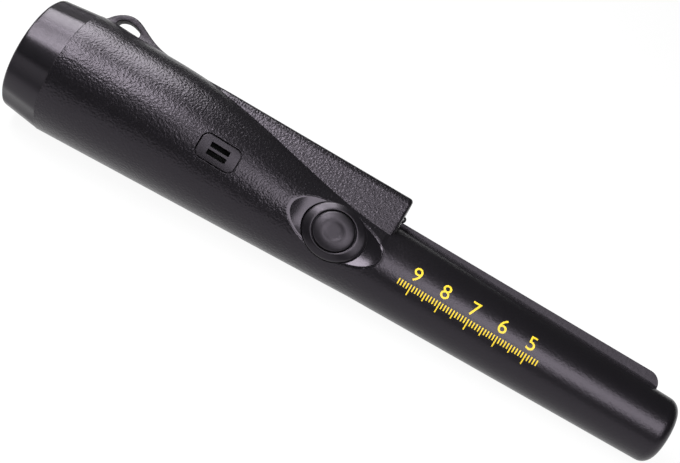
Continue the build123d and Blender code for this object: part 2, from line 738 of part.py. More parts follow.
def led_lamp():
    lens = rod(LED_R, led_flange_x, hood_face + LED_PROUD, led_y)
    lens = fillet(lens.faces().sort_by(Axis.X)[-1].edges(), LED_R - LED_FLAT_R)
    return lens + rod(LED_FLANGE_R, led_flange_x, led_flange_x + LED_FLANGE_THICK, led_y)


def led_leads():
    leads = []
    for number, side in enumerate((-1, 1), start=1):
        y = led_y + side * LEAD_PITCH / 2
        x = led_flange_x - number * LED_LEAD_X
        leads.append(wire((led_flange_x, y, 0), (x, y, 0), (x, lead_y, 0), (x, lead_y, board_z)).solid())
    return Compound(leads)


def coil_bobbin():
    core = rod(bobbin_core, bobbin_rear, bobbin_front)
    middle = (bobbin_rear + bobbin_front - BOBBIN_FLANGE) / 2
    for x in (bobbin_rear, middle, bobbin_front - BOBBIN_FLANGE):
        core += rod(bobbin_r, x, x + BOBBIN_FLANGE)
    for side in (-1, 1):
        y = side * COIL_LEAD_Y
        core -= block(bobbin_rear, bobbin_rear + BOBBIN_FLANGE, y - NOTCH_WIDTH / 2, y + NOTCH_WIDTH / 2,
                      COIL_LEAD_Z - NOTCH_WIDTH / 2, FAR)
    core -= rod(FERRITE_R + SEAT_FIT, bobbin_rear + BOBBIN_FLANGE, bobbin_front)
    tail = rod(bobbin_r, tail_x, bobbin_rear) & block(tail_x, bobbin_rear, -FAR, FAR, -FAR, board_z)
    tail -= post(SCREW_R + PILOT_FIT, tail_screw_x, 0, board_z - SCREW_LENGTH - CLEAR, board_z)
    return core + tail


def ferrite_rod():
    return rod(FERRITE_R, bobbin_rear + BOBBIN_FLANGE, bobbin_front)


def winding(number):
    """One of the two windings, between the flanges of its half of the bobbin."""
    span = (BOBBIN_LENGTH - BOBBIN_FLANGE) / 2
    start = bobbin_rear + number * span + BOBBIN_FLANGE
    end = start + span - BOBBIN_FLANGE
    turns = rod(bobbin_r - WINDING_INSET, start + SEAT_FIT, end - SEAT_FIT)
    return turns - rod(bobbin_core + PILOT_FIT, start, end)


def coil_leads():
    start = bobbin_rear + BOBBIN_FLANGE + SEAT_FIT
    down = bobbin_rear - COIL_LEAD_OUT
    z = COIL_LEAD_Z
    sides = (-COIL_LEAD_Y, COIL_LEAD_Y)
    return Compound([wire((start, y, z), (down, y, z), (down, y, board_top)).solid() for y in sides])


def nose_pad():
    return rod(bobbin_r, bobbin_front, bore_end)


pieces = {
    "housing": housing(),
    "lanyard_loop": lanyard_loop(),
    "scraper_blade": scraper_blade(),
    "battery_cap": battery_cap(),
    "cap_seal": cap_seal(),
    "battery_pad": battery_pad(),
    "battery": battery(),
    "battery_terminals": battery_terminals(),
    "battery_contacts": battery_contacts(),
    "contact_plate": contact_plate(),
    "battery_tray": battery_tray(),
    "inner_frame": inner_frame(),
    "main_board": main_board(),
    "board_screws": board_screws(),
    "processor_chip": processor_chip(),
    "amplifier_chips": amplifier_chips(),
    "capacitors": capacitors(),
    "power_switch": power_switch(),
    "switch_plunger": switch_plunger(),
    "button_cap": button_cap(),
    "button_bezel": button_bezel(),
    "button_gasket": button_gasket(),
    "speaker_grille": speaker_grille(),
    "speaker_gasket": speaker_gasket(),
    "speaker": speaker(),
    "speaker_pins": speaker_pins(),
    "vibration_motor": vibration_motor(),
    "motor_sleeve": motor_sleeve(),
    "motor_shaft": motor_shaft(),
    "motor_weight": motor_weight(),
    "motor_leads": motor_leads(),
    "led_lamp": led_lamp(),
    "led_leads": led_leads(),
    "coil_bobbin": coil_bobbin(),
    "ferrite_rod": ferrite_rod(),
    "transmit_winding": winding(0),
    "receive_winding": winding(1),
    "coil_leads": coil_leads(),
    "nose_pad": nose_pad(),
}

# The rolled tool tips until the nose and the grip both touch
nose_x = length - TIP_ROUND


def nose_drop(x):
    """Angle by which the nose drops if the grip touches at x."""
    centre, radius = grip_circle(x)
    below = radius - centre * sin(radians(LIE_ROLL))
    return degrees(atan((below - probe_r(nose_x)) / (nose_x - x)))


grip_steps = [CAP_LENGTH + (neck_x - CAP_LENGTH) * i / 100 for i in range(100)]
tipped = Rot(Y=max(nose_drop(x) for x in grip_steps)) * Rot(X=LIE_ROLL)
box = Compound([tipped * piece for piece in pieces.values()]).bounding_box()
lie = Pos(-box.center().X, -box.center().Y, -box.min.Z) * tipped

os.makedirs("parts", exist_ok=True)
for name, piece in pieces.items():
    export_step(lie * piece, f"parts/{name}.step")
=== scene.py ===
import json
import math

import bmesh
import bpy
from mathutils import Matrix, Vector


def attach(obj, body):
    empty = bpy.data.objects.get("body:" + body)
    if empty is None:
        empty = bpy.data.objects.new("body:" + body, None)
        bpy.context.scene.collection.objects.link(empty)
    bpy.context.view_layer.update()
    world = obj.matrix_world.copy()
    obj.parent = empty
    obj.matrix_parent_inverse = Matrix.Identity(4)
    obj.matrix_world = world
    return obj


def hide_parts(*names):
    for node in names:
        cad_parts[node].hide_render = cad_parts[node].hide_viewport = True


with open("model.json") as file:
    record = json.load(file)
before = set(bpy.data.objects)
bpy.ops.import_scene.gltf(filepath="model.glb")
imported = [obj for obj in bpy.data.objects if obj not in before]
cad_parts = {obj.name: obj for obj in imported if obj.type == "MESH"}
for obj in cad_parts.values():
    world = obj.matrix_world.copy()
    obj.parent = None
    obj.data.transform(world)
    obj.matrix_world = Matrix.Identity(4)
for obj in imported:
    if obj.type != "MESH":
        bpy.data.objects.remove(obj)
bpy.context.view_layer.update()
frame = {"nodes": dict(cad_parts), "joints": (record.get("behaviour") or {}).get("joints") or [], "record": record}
MM = 0.001
WHITE = (1.0, 1.0, 1.0, 1.0)

# The tool's own frame, in millimetres: x from the cap's flat end to the tip, y to the hood's side
# and z to the button
CAP_AXIS_Y = 2.3
cap_end = next(mount for mount in frame["record"]["mounts"] if mount["name"] == "cap_end")
button_press = next(joint for joint in frame["joints"] if joint["name"] == "button_press")
tool_x = -Vector(cap_end["axis"])
tool_z = -Vector(button_press["axis"])
tool_y = tool_z.cross(tool_x)
TOOL_TURN = Matrix((tool_x, tool_y, tool_z)).transposed()
TOOL_ORIGIN = Vector(cap_end["pos_m"]) - CAP_AXIS_Y * MM * tool_y

# Places on the tool that finishes and pieces follow
CAP_LENGTH = 13.0  # of its head
NECK_X = 124.6  # where the tapered probe starts
NECK_R = 13.3
HOOD_FACE = 126.6  # x of the hood's front
TIP_R = 10.82
LENGTH = 229.0
BLADE_HALF = 1.4  # half the blade's thickness
BLADE_END = 220.05
DISH_CENTRE = (113.39, 0.0, 48.72)  # of the sphere that cuts the button's dish
DISH_R = 38.0


def at(x, y, z):
    """Point of the tool's own frame as a point of the scene."""
    return TOOL_ORIGIN + TOOL_TURN @ Vector((x, y, z)) * MM


def way(x, y, z):
    """Direction of the tool's own frame as a direction of the scene."""
    return TOOL_TURN @ Vector((x, y, z))


def probe_r(x):
    """Radius of the tapered probe."""
    return NECK_R - (NECK_R - TIP_R) * (x - NECK_X) / (LENGTH - NECK_X)


def add_object(name, data):
    added = bpy.data.objects.new(name, data)
    bpy.context.collection.objects.link(added)
    return added


# Camera
IMAGE_WIDTH = 680  # pixels
PIXEL = 0.3117  # millimetres across one pixel at the target
AXIS_SLOPE = math.radians(30.86)  # the tool points right and down by this much
CAMERA_ROLL = math.radians(8.0)  # the camera stands off to the side away from the hood
CAMERA_TILT = math.radians(2.8)  # and towards the tip
CAMERA_DISTANCE = 407.0
CAMERA_TARGET = (111.57, 2.87, 0.0)
SENSOR_WIDTH = 36.0
CLIP_START = 0.01  # metres


def facing(back, up_hint):
    """Turn whose z axis is back and whose y axis leans to up_hint."""
    back = back.normalized()
    right = up_hint.cross(back).normalized()
    return Matrix((right, back.cross(right), back)).transposed().to_4x4()


def add_camera():
    back = way(math.sin(CAMERA_TILT), -math.sin(CAMERA_ROLL), math.cos(CAMERA_ROLL)).normalized()
    up = way(-math.sin(AXIS_SLOPE), math.cos(AXIS_SLOPE), 0)
    data = bpy.data.cameras.new("camera")
    data.sensor_width = SENSOR_WIDTH
    data.lens = SENSOR_WIDTH * CAMERA_DISTANCE / (IMAGE_WIDTH * PIXEL)
    data.clip_start = CLIP_START
    camera = add_object("camera", data)
    place = at(*CAMERA_TARGET) + CAMERA_DISTANCE * MM * back
    camera.matrix_world = Matrix.Translation(place) @ facing(back, up)
    bpy.context.scene.camera = camera


# Light: place and aim of each soft box, its sides along and across the tool, and its power in watts
SOFT_BOXES = {
    "soft_box_over_probe": ((296, 34, 440), (275, 0, 0), 352, 282, 2.03),
    "soft_box_over_cap": ((-130, 348, 93), (20, 8, 8), 230, 250, 2.08),
    "soft_box_over_grip": ((-115, 230, 440), (60, 5, 5), 170, 200, 1.74),
    "soft_box_behind_cap": ((-215, 262, 300), (10, 8, 8), 130, 140, 0.915),
    "soft_box_fill": ((68, 120, 440), (75, 5, 5), 100, 360, 0.136),
}
WORLD_STRENGTH = 0.06


def add_light(name, place, aim, along, across, power):
    """Soft box at a place, facing aim, with its first side along the tool."""
    data = bpy.data.lights.new(name, "AREA")
    data.shape = "RECTANGLE"
    data.size = along * MM
    data.size_y = across * MM
    data.energy = power
    back = at(*place) - at(*aim)
    turn = facing(back, back.cross(way(1, 0, 0)))
    add_object(name, data).matrix_world = Matrix.Translation(at(*place)) @ turn


def add_lights():
    for name, box in SOFT_BOXES.items():
        add_light(name, *box)


def add_world():
    world = bpy.data.worlds.new("studio")
    bpy.context.scene.world = world
    world.use_nodes = True
    background = world.node_tree.nodes["Background"]
    background.inputs["Color"].default_value = WHITE
    background.inputs["Strength"].default_value = WORLD_STRENGTH


# Materials
WAVE_RATE = 20.0  # radians of a wave texture in one unit, at a scale of 1
MIX_DARK, MIX_LIGHT, MIX_RESULT = 6, 7, 2  # colour sockets of a mix node, where names repeat
BEVEL_SAMPLES = 6


class Shading:
    """A material and the nodes that are added to it."""

    def __init__(self, name):
        self.material = bpy.data.materials.new(name)
        self.material.use_nodes = True
        self.tree = self.material.node_tree

    def add(self, kind, settings=None, **inputs):
        """Node of a kind, with its inputs by name, each a socket to link or a value."""
        node = self.tree.nodes.new(kind)
        for name, value in (settings or {}).items():
            setattr(node, name, value)
        for name, value in inputs.items():
            self.feed(node.inputs[name.replace("_", " ")], value)
        return node

    def feed(self, socket, value):
        if isinstance(value, bpy.types.NodeSocket):
            self.tree.links.new(value, socket)
        else:
            socket.default_value = value

    def operate(self, kind, operation, first, second):
        """Outputs of a node that works on two values."""
        node = self.add(kind, {"operation": operation})
        self.feed(node.inputs[0], first)
        self.feed(node.inputs[1], second)
        return node.outputs

    def math(self, operation, first, second):
        return self.operate("ShaderNodeMath", operation, first, second)[0]


class Finish(Shading):
    """A procedural finish whose textures are measured in millimetres of the tool's own frame."""

    def __init__(self, name, **sockets):
        super().__init__(name)
        self.shader = self.tree.nodes["Principled BSDF"]
        for socket, value in sockets.items():
            self.feed(self.shader.inputs[socket.replace("_", " ")], value)
        into_tool = TOOL_TURN.transposed()
        mapping = self.add(
            "ShaderNodeMapping",
            Vector=self.add("ShaderNodeTexCoord").outputs["Object"],
            Location=-(into_tool @ TOOL_ORIGIN) / MM,
            Rotation=into_tool.to_euler(),
            Scale=(1 / MM, 1 / MM, 1 / MM),
        )
        self.place = mapping.outputs["Vector"]
        split = self.add("ShaderNodeSeparateXYZ", Vector=self.place)
        self.x, self.y = split.outputs["X"], split.outputs["Y"]

    def ease(self, value, start, end, low=0.0, high=1.0):
        """Soft step of a value from low at start to high at end."""
        limits = dict(From_Min=start, From_Max=end, To_Min=low, To_Max=high)
        settings = {"interpolation_type": "SMOOTHSTEP"}
        return self.add("ShaderNodeMapRange", settings, Value=value, **limits).outputs["Result"]

    def fade(self, value, start, end):
        """Soft step of a value from 1 at start to 0 at end."""
        return self.ease(value, start, end, 1.0, 0.0)

    def total(self, *terms):
        """Sum of values, each times its share."""
        amount, *others = [self.math("MULTIPLY", value, share) for value, share in terms]
        for other in others:
            amount = self.math("ADD", amount, other)
        return amount

    def distance(self, point):
        return self.operate("ShaderNodeVectorMath", "DISTANCE", self.place, point)["Value"]

    def noise(self, size, detail=3.0, stretch=None):
        """Cloudy value of about 0 to 1, with lumps of the given size, drawn out by stretch."""
        place = self.place
        if stretch:
            place = self.operate("ShaderNodeVectorMath", "DIVIDE", place, stretch)[0]
        look = dict(Vector=place, Scale=1 / size, Detail=detail)
        return self.add("ShaderNodeTexNoise", **look).outputs["Fac"]

    def cells(self, size, feature="F1"):
        """Distance from the middle, or from the edge, of pebbles of the given size."""
        look = dict(Vector=self.place, Scale=1 / size)
        return self.add("ShaderNodeTexVoronoi", {"feature": feature}, **look).outputs["Distance"]

    def rings(self, pitch):
        """Value of 0 to 1 that waves along the tool."""
        settings = {"wave_type": "BANDS", "bands_direction": "X", "wave_profile": "SIN"}
        look = dict(Vector=self.place, Scale=2 * math.pi / (WAVE_RATE * pitch))
        return self.add("ShaderNodeTexWave", settings, **look).outputs["Fac"]

    def colour(self, share, dark, light):
        """Base colour between two linear colours by share."""
        node = self.add("ShaderNodeMix", {"data_type": "RGBA"}, Factor=share)
        self.feed(node.inputs[MIX_DARK], (*dark, 1))
        self.feed(node.inputs[MIX_LIGHT], (*light, 1))
        self.feed(self.shader.inputs["Base Color"], node.outputs[MIX_RESULT])

    def roughness(self, share, smooth, rough):
        self.feed(self.shader.inputs["Roughness"], self.ease(share, 0.0, 1.0, smooth, rough))

    def relief(self, height, depth, edge=0.0):
        """Bump of the given depth, over edges rounded by the given radius."""
        node = self.add("ShaderNodeBump", Height=height, Distance=depth * MM, Strength=1.0)
        if edge:
            settings = {"samples": BEVEL_SAMPLES}
            rounded = self.add("ShaderNodeBevel", settings, Radius=edge * MM)
            self.feed(node.inputs["Normal"], rounded.outputs["Normal"])
        self.feed(self.shader.inputs["Normal"], node.outputs["Normal"])


# Floor
FLOOR_HALF = 2.0  # metres
FLOOR_GREY = (0.85, 0.85, 0.85, 1.0)
FLOOR_GLOW = 1.0
FLOOR_LIFT = 0.93  # share of plain white where the floor is looked at; the rest keeps the shadow


def floor_white():
    """Diffuse sheet that keeps the tool's shadow, lifted to white where it is looked at."""
    floor = Shading("floor_white")
    floor.tree.nodes.clear()
    ray = floor.add("ShaderNodeLightPath").outputs
    seen = floor.math("MAXIMUM", ray["Is Camera Ray"], ray["Is Glossy Ray"])
    seen = floor.math("MAXIMUM", seen, ray["Is Transmission Ray"])
    diffuse = floor.add("ShaderNodeBsdfDiffuse", Color=FLOOR_GREY)
    glow = floor.add("ShaderNodeEmission", Color=WHITE, Strength=FLOOR_GLOW)
    mix = floor.add("ShaderNodeMixShader", Fac=floor.math("MULTIPLY", seen, FLOOR_LIFT))
    floor.feed(mix.inputs[1], diffuse.outputs[0])
    floor.feed(mix.inputs[2], glow.outputs[0])
    floor.add("ShaderNodeOutputMaterial", Surface=mix.outputs[0])
    return floor.material


def add_floor():
    mesh = bpy.data.meshes.new("floor")
    corners = ((-1, -1), (1, -1), (1, 1), (-1, 1))
    mesh.from_pydata([(x * FLOOR_HALF, y * FLOOR_HALF, 0) for x, y in corners], [], [(0, 1, 2, 3)])
    mesh.materials.append(floor_white())
    floor = add_object("floor", mesh)


# Finish of the black mouldings, which are dull for a plastic and gleam with a trace of purple
BLACK_SPECULAR = 0.38
CAP_SPECULAR = 0.4  # the cap is glossier
BLACK_TINT = (0.95, 0.85, 1.0, 1.0)
BLACK_TONES = ((0.0034, 0.0031, 0.0038), (0.0052, 0.0048, 0.0058))
CAP_TONES = ((0.0032, 0.003, 0.0036), (0.005, 0.0046, 0.0056))

# Grain of the grip: the sizes of its pebbles and lumps, and their shares of the height
PEBBLE_SIZE, PEBBLE_SHARE = 0.85, 0.5
SMALL_SIZE, SMALL_SHARE = 0.5, 0.25
PEBBLE_FLANK = (0.1, 0.75)  # from a pebble's top to its crease, over its size
SMALL_FLANK = (0.1, 0.8)
LUMP_SIZE, LUMP_SHARE = 0.8, 0.6
SATIN_SIZE, SATIN_SHARE = 0.9, 0.8  # of the fine unevenness that the probe has as well
GRAIN_DEPTH = 0.078

# Where the grain begins or ends, from and to
GRAIN_FADE_X = (NECK_X - 6.0, NECK_X + 10.0)
HOOD_GRAIN_Y = (NECK_R + 0.2, NECK_R + 1.2)
HOOD_GRAIN_X = (HOOD_FACE - 1.0, HOOD_FACE - 0.3)
DISH_RIM = (DISH_R + 0.08, DISH_R + 0.4)

GRAIN_ROUGHNESS = 0.24
PROBE_ROUGHNESS = 0.27
DISH_SMOOTHER = 0.17
UNEVEN_ROUGHNESS = 0.1


def leather(finish):
    """Height of the moulded leather grain: uneven pebbles with creases between them."""
    pebbles = finish.fade(finish.cells(PEBBLE_SIZE), *PEBBLE_FLANK)
    small = finish.fade(finish.cells(SMALL_SIZE), *SMALL_FLANK)
    lumps = finish.noise(LUMP_SIZE, detail=4.0)
    return finish.total((pebbles, PEBBLE_SHARE), (small, SMALL_SHARE), (lumps, LUMP_SHARE))


def grip_plastic():
    """Charcoal moulding: leather-grained grip and hood, satin probe, smooth dish."""
    finish = Finish("grip_plastic", Specular_IOR_Level=BLACK_SPECULAR, Specular_Tint=BLACK_TINT)
    grip = finish.fade(finish.x, *GRAIN_FADE_X)
    hood_side = finish.ease(finish.y, *HOOD_GRAIN_Y)
    hood = finish.math("MULTIPLY", hood_side, finish.fade(finish.x, *HOOD_GRAIN_X))
    outside_dish = finish.ease(finish.distance(DISH_CENTRE), *DISH_RIM)
    grained = finish.math("MULTIPLY", finish.math("MAXIMUM", grip, hood), outside_dish)
    finish.colour(finish.noise(size=9.0, detail=5.0), *BLACK_TONES)
    uneven = finish.math("MULTIPLY", finish.noise(size=0.25, detail=2.0), UNEVEN_ROUGHNESS)
    level = finish.ease(grained, 0.0, 1.0, PROBE_ROUGHNESS, GRAIN_ROUGHNESS)
    level = finish.math("ADD", level, uneven)
    dish = finish.ease(outside_dish, 0.0, 1.0, -DISH_SMOOTHER, 0.0)
    finish.feed(finish.shader.inputs["Roughness"], finish.math("ADD", level, dish))
    satin_share = finish.math("MULTIPLY", outside_dish, SATIN_SHARE)
    satin = finish.math("MULTIPLY", finish.noise(SATIN_SIZE), satin_share)
    grain = finish.math("MULTIPLY", leather(finish), grained)
    finish.relief(finish.math("ADD", grain, satin), GRAIN_DEPTH, edge=0.25)
    return finish.material


def cap_plastic():
    """Smooth satin black."""
    finish = Finish("cap_plastic", Specular_IOR_Level=CAP_SPECULAR, Specular_Tint=BLACK_TINT)
    finish.colour(finish.noise(size=8.0, detail=5.0), *CAP_TONES)
    finish.roughness(finish.noise(size=0.9, detail=4.0), smooth=0.27, rough=0.37)
    finish.relief(finish.noise(size=0.2), depth=0.02, edge=0.4)
    return finish.material


def lamp_lens():
    """Smoked dome of the lamp, dark while the lamp is off."""
    finish = Finish("lamp_lens", Transmission_Weight=0.3, IOR=1.5)
    finish.colour(finish.noise(size=0.9, detail=2.0), (0.02, 0.02, 0.021), (0.04, 0.04, 0.042))
    finish.roughness(finish.noise(size=0.5), smooth=0.06, rough=0.16)
    finish.relief(finish.noise(size=0.3), depth=0.004)
    return finish.material


# Finishes of the pieces inside
TRACK_SIZE = 2.2
TRACK_FLANK = (0.04, 0.1)
WIRE_PITCH = 0.32
JACKET_BAND_X = (41.8, 42.2)  # where the battery's dark band begins, from and to


def circuit_board():
    """Green solder mask over faint raised tracks."""
    finish = Finish("circuit_board", Specular_IOR_Level=0.5)
    tracks = finish.fade(finish.cells(TRACK_SIZE, "DISTANCE_TO_EDGE"), *TRACK_FLANK)
    tone = finish.total((tracks, 0.6), (finish.noise(size=5.0), 0.4))
    finish.colour(tone, (0.006, 0.075, 0.026), (0.018, 0.15, 0.055))
    finish.roughness(finish.noise(size=1.5), smooth=0.25, rough=0.38)
    finish.relief(tracks, depth=0.03)
    return finish.material


def copper_winding():
    """Close turns of enamelled wire, with painted shade darkening the grooves between the turns."""
    finish = Finish("copper_winding", Metallic=0.85)
    turns = finish.rings(WIRE_PITCH)
    # Painted shade: the colour follows the turns and is darker in the grooves between them, and also darker at
    # random where the noise is low.
    tone = finish.math("MULTIPLY", turns, finish.noise(size=4.0))
    finish.colour(tone, (0.16, 0.04, 0.012), (0.56, 0.2, 0.07))
    finish.roughness(finish.noise(size=1.0), smooth=0.22, rough=0.36)
    finish.relief(turns, depth=0.08)
    return finish.material


def battery_jacket():
    """Lacquered sheet jacket with a plain dark band round its terminal end."""
    finish = Finish("battery_jacket", Metallic=0.6)
    band = finish.ease(finish.x, *JACKET_BAND_X)
    tone = finish.total((band, 0.8), (finish.noise(size=6.0), 0.2))
    finish.colour(tone, (0.12, 0.13, 0.16), (0.02, 0.02, 0.024))
    finish.roughness(finish.noise(size=1.4), smooth=0.26, rough=0.4)
    finish.relief(finish.noise(size=0.5), depth=0.006, edge=0.3)
    return finish.material


# Mouldings: dark and light tone, least and most roughness, and what else sets them apart
BLACK = dict(specular=BLACK_SPECULAR, tint=BLACK_TINT)
MOULDINGS = {
    "trim_plastic": (BLACK_TONES, (0.46, 0.6), dict(BLACK, grain=1.0, depth=0.16)),
    "plate_plastic": (BLACK_TONES, (0.3, 0.4), dict(BLACK, depth=0.02)),
    "button_plastic": (BLACK_TONES, (0.36, 0.46), dict(BLACK, grain=0.22)),
    "bezel_plastic": (BLACK_TONES, (0.26, 0.34), dict(BLACK, grain=0.2, depth=0.005)),
    "black_rubber": (((0.008, 0.008, 0.008), (0.014, 0.014, 0.014)), (0.6, 0.75), {}),
    "foam": (
        ((0.03, 0.03, 0.033), (0.07, 0.07, 0.075)), (0.85, 0.95), dict(grain=0.45, depth=0.12),
    ),
    "silicone": (((0.5, 0.5, 0.47), (0.6, 0.6, 0.57)), (0.4, 0.5), {}),
    "inner_plastic": (((0.085, 0.085, 0.093), (0.115, 0.115, 0.125)), (0.4, 0.55), {}),
    "contact_board": (((0.14, 0.085, 0.04), (0.2, 0.125, 0.065)), (0.45, 0.6), {}),
    "chip_plastic": (
        ((0.004, 0.004, 0.004), (0.007, 0.007, 0.007)), (0.7, 0.85), dict(specular=0.12),
    ),
    "plunger_plastic": (((0.55, 0.53, 0.47), (0.66, 0.64, 0.58)), (0.35, 0.5), {}),
    "ferrite": (
        ((0.022, 0.022, 0.024), (0.04, 0.04, 0.043)), (0.5, 0.7), dict(grain=0.4, depth=0.03),
    ),
}
MOULDED_EDGE = 0.2

# Metals: dark and light tone, least and most roughness, and how their marks are drawn out
METALS = {
    "snap_metal": (((0.62, 0.62, 0.6), (0.74, 0.74, 0.73)), (0.16, 0.3), None),
    "screw_steel": (((0.45, 0.45, 0.45), (0.58, 0.58, 0.57)), (0.22, 0.36), None),
    "can_aluminium": (((0.55, 0.55, 0.57), (0.68, 0.68, 0.7)), (0.24, 0.4), (1, 1, 12)),
    "motor_steel": (((0.48, 0.48, 0.49), (0.62, 0.62, 0.63)), (0.2, 0.34), (12, 1, 1)),
    "weight_metal": (((0.15, 0.15, 0.155), (0.25, 0.25, 0.255)), (0.4, 0.6), None),
    "lead_wire": (((0.6, 0.47, 0.34), (0.78, 0.64, 0.5)), (0.25, 0.4), None),
}
MARK_SIZE = 0.18
MARK_DEPTH = 0.004
METAL_EDGE = 0.08

# Nodes whose finish isn't that of their slot
NODE_FINISHES = {"speaker_grille": "plate_plastic"}


def moulded(name, tones, roughness, grain=0.3, depth=0.01, specular=0.5, tint=WHITE):
    """Plastic or rubber: cloudy tone, uneven gloss and a fine grain of the given size and depth."""
    finish = Finish(name, Specular_IOR_Level=specular, Specular_Tint=tint)
    finish.colour(finish.noise(size=7.0, detail=5.0), *tones)
    finish.roughness(finish.noise(size=1.1, detail=4.0), *roughness)
    finish.relief(finish.noise(grain), depth, MOULDED_EDGE)
    return finish.material


def metal(name, tones, roughness, stretch):
    """Bare metal with drawing or turning marks."""
    finish = Finish(name, Metallic=1.0)
    marks = finish.noise(MARK_SIZE, detail=4.0, stretch=stretch)
    finish.colour(finish.noise(size=3.0, detail=5.0), *tones)
    finish.roughness(marks, *roughness)
    finish.relief(marks, MARK_DEPTH, METAL_EDGE)
    return finish.material


def add_finishes():
    finishes = {
        "grip_plastic": grip_plastic(),
        "cap_plastic": cap_plastic(),
        "lamp_lens": lamp_lens(),
        "circuit_board": circuit_board(),
        "copper_winding": copper_winding(),
        "battery_jacket": battery_jacket(),
    }
    for name, (tones, roughness, apart) in MOULDINGS.items():
        finishes[name] = moulded(name, tones, roughness, **apart)
    for name, look in METALS.items():
        finishes[name] = metal(name, *look)
    for row in frame["record"]["subparts"]:
        mesh = frame["nodes"][row["node"]].data
        mesh.materials.clear()
        mesh.materials.append(finishes[NODE_FINISHES.get(row["node"], row["material_slot"])])


# Pieces of the scene's own
SHARP_ANGLE = math.radians(40)


def full_turn(count):
    """So many even angles of a circle."""
    return [2 * math.pi * i / count for i in range(count)]


def even_steps(start, end, steps):
    """Even steps from start to end, with both ends."""
    return [start + (end - start) * i / steps for i in range(steps + 1)]


def soft_step(share):
    """Share, held between 0 and 1, with a soft start and end."""
    share = min(max(share, 0.0), 1.0)
    return share * share * (3 - 2 * share)


def between(a, b, share):
    """Point at a share of the way from a to b."""
    return tuple(p + (q - p) * share for p, q in zip(a, b))


def add_skin(form, rings, ends=False):
    """Faces between rings of points, the last joined to the first or else both ends filled."""
    rows = [[form.verts.new(at(*point)) for point in ring] for ring in rings]
    for row, ahead in zip(rows, rows[1:] if ends else rows[1:] + rows[:1]):
        for i in range(len(row)):
            j = (i + 1) % len(row)
            form.faces.new((row[i], row[j], ahead[j], ahead[i]))
    if ends:
        form.faces.new(rows[0])
        form.faces.new(rows[-1])


def add_form(form, name, material, body, smooth=True, node=None):
    """Closes a form into a piece that rides on a body, and that may stand for a node."""
    bmesh.ops.recalc_face_normals(form, faces=form.faces[:])
    for face in form.faces:
        face.smooth = smooth
    mesh = bpy.data.meshes.new(name)
    form.to_mesh(mesh)
    form.free()
    if smooth:
        mesh.set_sharp_from_angle(angle=SHARP_ANGLE)
    mesh.materials.append(material)
    piece = add_object(name, mesh)
    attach(piece, body)
    if node:
        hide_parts(node)


def finish_of(node):
    return frame["nodes"][node].data.materials[0]


# Button disc with a crowned rim round its dimple, and the sloped ring round it
BUTTON_X = 110.6
BUTTON_OVAL = 0.925  # the disc's width over its length
BUTTON_STEPS = 96
# Half lengths and heights from the stem's end round to the middle of the dimple
BUTTON_PROFILE = (
    (2.0, 7.74), (2.0, 10.74), (7.45, 10.74), (7.45, 11.74), (6.65, 11.74), (6.65, 13.29),
    (6.6, 13.5), (6.48, 13.69), (6.3, 13.84), (6.05, 13.97), (5.6, 14.13), (5.1, 14.275),
    (4.6, 14.39), (4.2, 14.455), (3.9, 14.49), (3.6, 14.49), (3.3, 14.465), (3.0, 14.415),
    (2.7, 14.355), (2.4, 14.305), (2.1, 14.275), (1.7, 14.26), (1.0, 14.255), (0.3, 14.255),
)
# Half lengths, half widths and heights round the ring's section
BEZEL_SECTION = (
    (10.3, 8.8, 10.14), (10.3, 8.8, 12.1), (10.26, 8.77, 12.35), (10.15, 8.69, 12.56),
    (9.98, 8.56, 12.72), (9.7, 8.37, 12.86), (9.2, 8.04, 13.07), (8.7, 7.71, 13.27),
    (8.2, 7.39, 13.47), (7.8, 7.13, 13.63), (7.55, 6.96, 13.72), (7.4, 6.86, 13.76),
    (7.2, 6.67, 13.77), (7.05, 6.53, 13.71), (6.95, 6.45, 13.55), (6.95, 6.45, 12.04),
    (7.75, 7.25, 12.04), (7.75, 7.25, 10.14),
)


def oval_ring(along, across, height):
    """Points of an oval about the button's axis."""
    turns = full_turn(BUTTON_STEPS)
    return [(BUTTON_X + along * math.cos(t), across * math.sin(t), height) for t in turns]


def add_button():
    disc = bmesh.new()
    rings = [oval_ring(half, half * BUTTON_OVAL, height) for half, height in BUTTON_PROFILE]
    add_skin(disc, rings, ends=True)
    finish = finish_of("button_cap")
    add_form(disc, "button_disc", finish, "button", node="button_cap")
    ring = bmesh.new()
    add_skin(ring, [oval_ring(*oval) for oval in BEZEL_SECTION])
    finish = finish_of("button_bezel")
    add_form(ring, "button_ring", finish, "tool", node="button_bezel")


# Lanyard loop, slimmer above its foot, with well rounded edges and a softly arched hole
LOOP_ARCH = (
    (13.3, 22.6), (13.85, 23.45), (14.43, 24.26), (15.1, 25.04), (15.95, 25.76), (16.85, 26.42),
    (17.81, 26.99), (18.83, 27.45), (19.91, 27.75), (21.02, 27.86), (22.13, 27.77), (23.22, 27.5),
    (24.31, 27.1), (25.36, 26.63), (26.39, 26.13), (27.42, 25.62), (28.47, 25.12), (29.51, 24.66),
    (30.58, 24.23), (31.67, 23.84), (32.77, 23.5), (33.88, 23.21), (35.01, 22.96), (36.15, 22.76),
    (37.3, 22.6),
)
LOOP_HOLE = (
    (17.2, 22.1), (17.1, 23.4), (17.5, 24.5), (18.7, 25.3), (20.2, 25.75), (21.7, 25.65),
    (23.2, 25.3), (24.5, 24.8), (25.4, 24.1), (25.65, 23.2), (25.6, 22.1),
)
LOOP_SOFTENING = 3  # how often the hole's corners are cut
CORNER_CUTS = (0.25, 0.75)  # where each side is cut
LOOP_FLOOR = 21.17
LOOP_FLOOR_POINTS = 12
LOOP_HALF = 2.15  # half its width
LOOP_FOOT_HALF = 3.0
LOOP_FOOT_TOP = 22.5
LOOP_SLIM_Y = 23.5  # above this it has its full slimness
LOOP_EDGE = 1.1
LOOP_HOLE_EDGE = 0.35
LOOP_EDGE_STEPS = 5
LOOP_EDGE_LIMIT = 0.45  # largest rounding, over the gap between the arch and the hole


